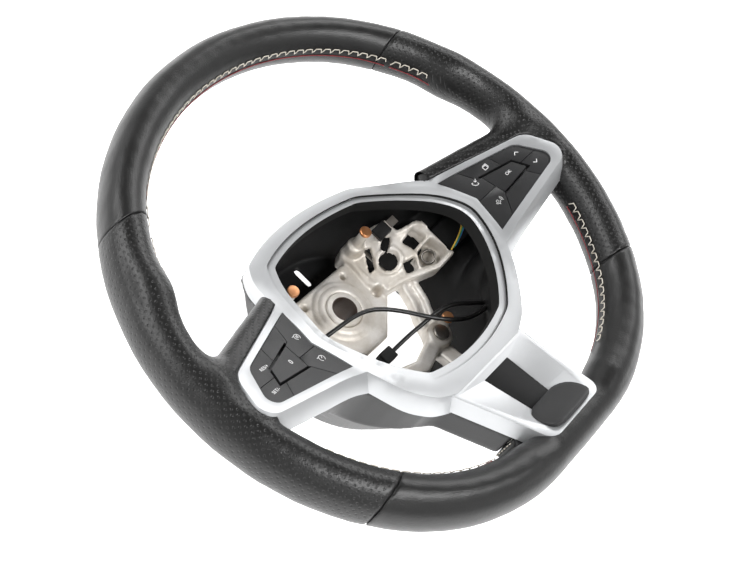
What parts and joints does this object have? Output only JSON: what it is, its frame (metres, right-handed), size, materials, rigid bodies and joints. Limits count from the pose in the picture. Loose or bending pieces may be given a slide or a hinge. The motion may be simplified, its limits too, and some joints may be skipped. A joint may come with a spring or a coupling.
{
  "type": "steering wheel",
  "caption": "Car steering wheel with a flat-bottomed leather rim, satin trim, sprung switch keys on the side spokes and an open hub that shows the cast armature and leads.",
  "frame": {"origin": "on the steering axis at the rear end of the hub sleeve, level with the base of the rear cover", "axes": "+Z along the steering axis towards the driver, +Y to twelve o'clock, +X to the driver's right"},
  "size_m": [0.365, 0.353, 0.12],
  "materials": {
    "alloy": "as cast, dull",
    "steel": "bare",
    "foam": "moulded skin",
    "leather": "smooth fine grain",
    "perforated_leather": "fine grain with small holes",
    "satin_trim": "satin silver",
    "black_plastic": "fine spark texture",
    "grey_plastic": "smooth dark grey",
    "key_plastic": "satin dark grey with pale marks",
    "board": "green laminate",
    "silicone": "translucent grey",
    "copper": "dull copper",
    "black_sleeve": "smooth sleeve",
    "yellow_sleeve": "smooth sleeve",
    "green_sleeve": "smooth sleeve",
    "blue_sleeve": "smooth sleeve"
  },
  "bodies": {
    "wheel": {"armature": "alloy", "hub_sleeve": "steel", "rim_foam": "foam", "leather_top": "leather", "leather_bottom": "leather", "leather_left_grip": "perforated_leather", "leather_right_grip": "perforated_leather", "hub_bezel": "satin_trim", "lower_spoke_bezel": "satin_trim", "lower_spoke_infill": "black_plastic", "badge_plate": "grey_plastic", "rear_cover": "black_plastic", "left_switch_housing": "black_plastic", "right_switch_housing": "black_plastic", "left_switch_board": "board", "right_switch_board": "board", "left_switch_mat": "silicone", "right_switch_mat": "silicone", "horn_contacts": "copper", "horn_springs": "steel", "airbag_springs": "steel", "arm_rivets": "steel", "horn_connector": "black_plastic", "horn_terminal": "steel", "cable_connector": "black_plastic", "long_cable": "black_sleeve", "short_cable": "black_sleeve", "yellow_wire": "yellow_sleeve", "green_wire": "green_sleeve", "blue_wire": "blue_sleeve"},
    "left_key_inner_upper": {"left_key_inner_upper": "key_plastic"},
    "left_key_inner_lower": {"left_key_inner_lower": "key_plastic"},
    "left_key_centre": {"left_key_centre": "key_plastic"},
    "left_key_upper": {"left_key_upper": "key_plastic"},
    "left_key_outer_upper": {"left_key_outer_upper": "key_plastic"},
    "left_key_outer_lower": {"left_key_outer_lower": "key_plastic"},
    "left_key_lower": {"left_key_lower": "key_plastic"},
    "right_key_inner_upper": {"right_key_inner_upper": "key_plastic"},
    "right_key_inner_lower": {"right_key_inner_lower": "key_plastic"},
    "right_key_centre": {"right_key_centre": "key_plastic"},
    "right_key_upper": {"right_key_upper": "key_plastic"},
    "right_key_outer_upper": {"right_key_outer_upper": "key_plastic"},
    "right_key_outer_lower": {"right_key_outer_lower": "key_plastic"},
    "right_key_lower": {"right_key_lower": "key_plastic"}
  },
  "joints": [
    {"name": "left_key_inner_upper_press", "type": "slide", "parent": "wheel", "child": "left_key_inner_upper", "axis": [-0.2614, -0.202, -0.9438], "range_m": [0, 0.0009], "stiffness_N_per_m": 2500},
    {"name": "left_key_inner_lower_press", "type": "slide", "parent": "wheel", "child": "left_key_inner_lower", "axis": [-0.2614, -0.202, -0.9438], "range_m": [0, 0.0009], "stiffness_N_per_m": 2500},
    {"name": "left_key_centre_press", "type": "slide", "parent": "wheel", "child": "left_key_centre", "axis": [-0.2614, -0.202, -0.9438], "range_m": [0, 0.0009], "stiffness_N_per_m": 2500},
    {"name": "left_key_upper_press", "type": "slide", "parent": "wheel", "child": "left_key_upper", "axis": [-0.2614, -0.202, -0.9438], "range_m": [0, 0.0009], "stiffness_N_per_m": 2500},
    {"name": "left_key_outer_upper_press", "type": "slide", "parent": "wheel", "child": "left_key_outer_upper", "axis": [-0.2614, -0.202, -0.9438], "range_m": [0, 0.0009], "stiffness_N_per_m": 2500},
    {"name": "left_key_outer_lower_press", "type": "slide", "parent": "wheel", "child": "left_key_outer_lower", "axis": [-0.2614, -0.202, -0.9438], "range_m": [0, 0.0009], "stiffness_N_per_m": 2500},
    {"name": "left_key_lower_press", "type": "slide", "parent": "wheel", "child": "left_key_lower", "axis": [-0.2614, -0.202, -0.9438], "range_m": [0, 0.0009], "stiffness_N_per_m": 2500},
    {"name": "right_key_inner_upper_press", "type": "slide", "parent": "wheel", "child": "right_key_inner_upper", "axis": [0.2614, -0.202, -0.9438], "range_m": [0, 0.0009], "stiffness_N_per_m": 2500},
    {"name": "right_key_inner_lower_press", "type": "slide", "parent": "wheel", "child": "right_key_inner_lower", "axis": [0.2614, -0.202, -0.9438], "range_m": [0, 0.0009], "stiffness_N_per_m": 2500},
    {"name": "right_key_centre_press", "type": "slide", "parent": "wheel", "child": "right_key_centre", "axis": [0.2614, -0.202, -0.9438], "range_m": [0, 0.0009], "stiffness_N_per_m": 2500},
    {"name": "right_key_upper_press", "type": "slide", "parent": "wheel", "child": "right_key_upper", "axis": [0.2614, -0.202, -0.9438], "range_m": [0, 0.0009], "stiffness_N_per_m": 2500},
    {"name": "right_key_outer_upper_press", "type": "slide", "parent": "wheel", "child": "right_key_outer_upper", "axis": [0.2614, -0.202, -0.9438], "range_m": [0, 0.0009], "stiffness_N_per_m": 2500},
    {"name": "right_key_outer_lower_press", "type": "slide", "parent": "wheel", "child": "right_key_outer_lower", "axis": [0.2614, -0.202, -0.9438], "range_m": [0, 0.0009], "stiffness_N_per_m": 2500},
    {"name": "right_key_lower_press", "type": "slide", "parent": "wheel", "child": "right_key_lower", "axis": [0.2614, -0.202, -0.9438], "range_m": [0, 0.0009], "stiffness_N_per_m": 2500}
  ]
}
